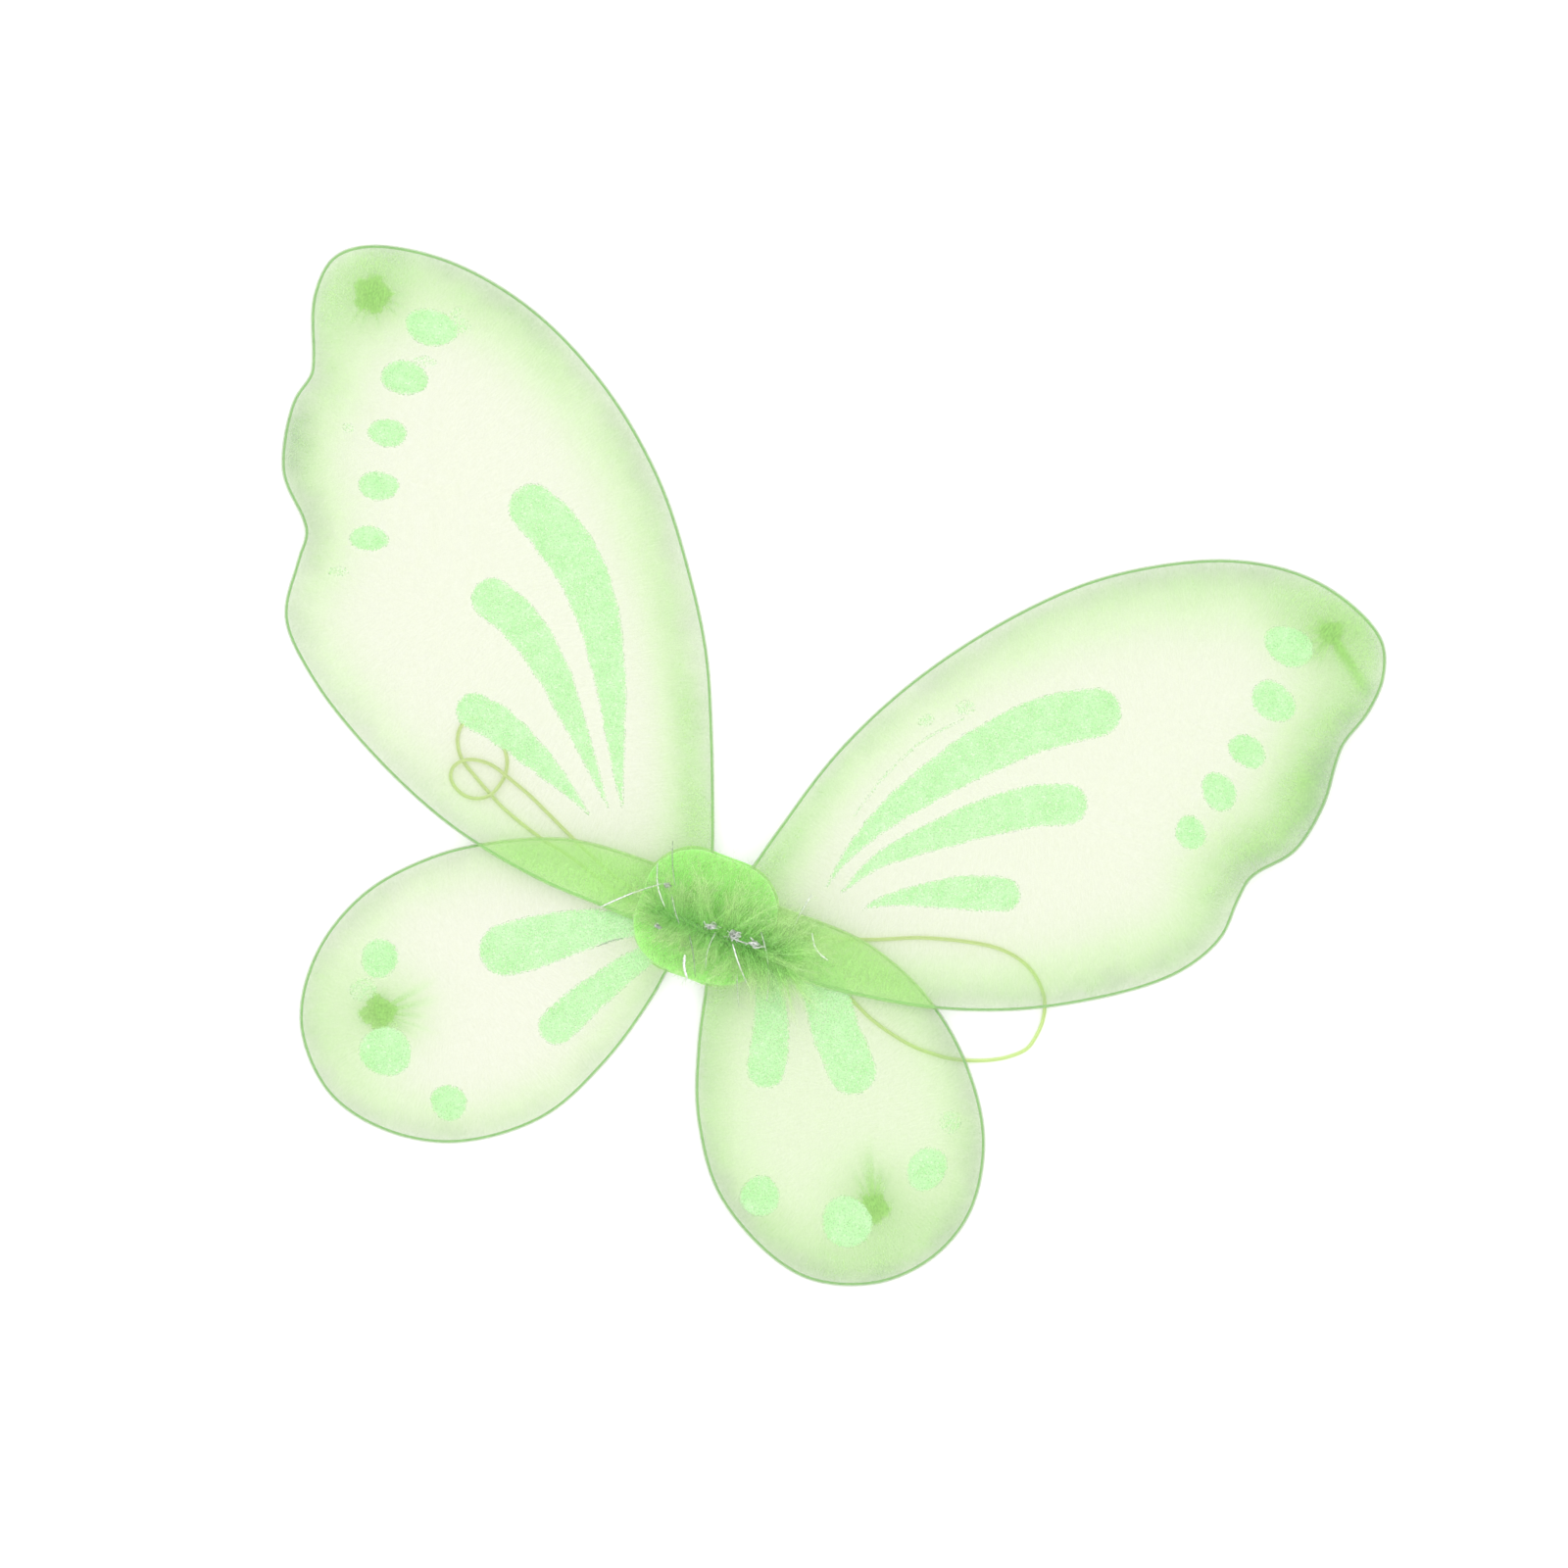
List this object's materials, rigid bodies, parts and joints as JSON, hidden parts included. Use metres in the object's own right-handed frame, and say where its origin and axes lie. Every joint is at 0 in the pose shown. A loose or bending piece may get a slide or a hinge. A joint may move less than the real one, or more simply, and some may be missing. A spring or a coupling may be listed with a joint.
{
  "type": "fairy wings",
  "caption": "Butterfly-shaped costume wings of sheer nylon stretched over bent wire loops, joined at a padded feather-trimmed hub with elastic shoulder loops behind.",
  "frame": {"origin": "centre of the back pad's rear face, which rests on the wearer's back or on the surface that the wings lie on", "axes": "+Y towards the upper wings, +X along the wing span towards the right-hand wings as seen from the feather side, +Z out of the feather side"},
  "size_m": [0.4651, 0.3441, 0.0291],
  "materials": {
    "nylon": "sheer knitted nylon, slightly shiny",
    "wire": "green-coated florist's wire, satin",
    "felt": "matt craft felt",
    "down": "dyed marabou down",
    "thread": "twisted thread",
    "cord": "braided round elastic",
    "glue": "set hot-melt glue",
    "tinsel": "metallised film strips"
  },
  "bodies": {
    "hub": {"back_pad": "felt", "back_glue_bed": "glue", "hub_lashing": "thread", "front_glue_bed": "glue", "front_pad": "felt", "tinsel_garland": "tinsel", "boa_core": "thread", "marabou_plume": "down", "upper_left_wire_root": "wire", "upper_left_nylon_root": "nylon", "upper_right_wire_root": "wire", "upper_right_nylon_root": "nylon", "lower_left_wire_root": "wire", "lower_left_nylon_root": "nylon", "lower_right_wire_root": "wire", "lower_right_nylon_root": "nylon", "left_shoulder_strap": "cord", "right_shoulder_strap": "cord"},
    "upper_left_wing": {"upper_left_wire": "wire", "upper_left_nylon": "nylon", "upper_left_tuft": "nylon", "upper_left_tie_thread": "thread"},
    "upper_right_wing": {"upper_right_wire": "wire", "upper_right_nylon": "nylon", "upper_right_tuft": "nylon", "upper_right_tie_thread": "thread"},
    "lower_left_wing": {"lower_left_wire": "wire", "lower_left_nylon": "nylon", "lower_left_tuft": "nylon", "lower_left_tie_thread": "thread"},
    "lower_right_wing": {"lower_right_wire": "wire", "lower_right_nylon": "nylon", "lower_right_tuft": "nylon", "lower_right_tie_thread": "thread"}
  },
  "joints": [
    {"name": "upper_left_fold", "type": "hinge", "parent": "hub", "child": "upper_left_wing", "pos_m": [-0.0445, -0.0096, 0.0078], "axis": [0.5577, 0.83, 0], "range_deg": [0, 65]},
    {"name": "upper_right_fold", "type": "hinge", "parent": "hub", "child": "upper_right_wing", "pos_m": [0.0105, 0.041, 0.0078], "axis": [0.5577, -0.83, 0], "range_deg": [0, 65]},
    {"name": "lower_left_fold", "type": "hinge", "parent": "hub", "child": "lower_left_wing", "pos_m": [-0.0098, -0.045, 0.0049], "axis": [-0.758, 0.6523, 0], "range_deg": [0, 52]},
    {"name": "lower_right_fold", "type": "hinge", "parent": "hub", "child": "lower_right_wing", "pos_m": [0.0715, 0.0081, 0.0049], "axis": [-0.758, -0.6523, 0], "range_deg": [0, 52]}
  ],
  "couplings": [
    {"joint": "lower_left_fold", "follows": "upper_left_fold", "ratio": 0.8},
    {"joint": "lower_right_fold", "follows": "upper_right_fold", "ratio": 0.8}
  ]
}
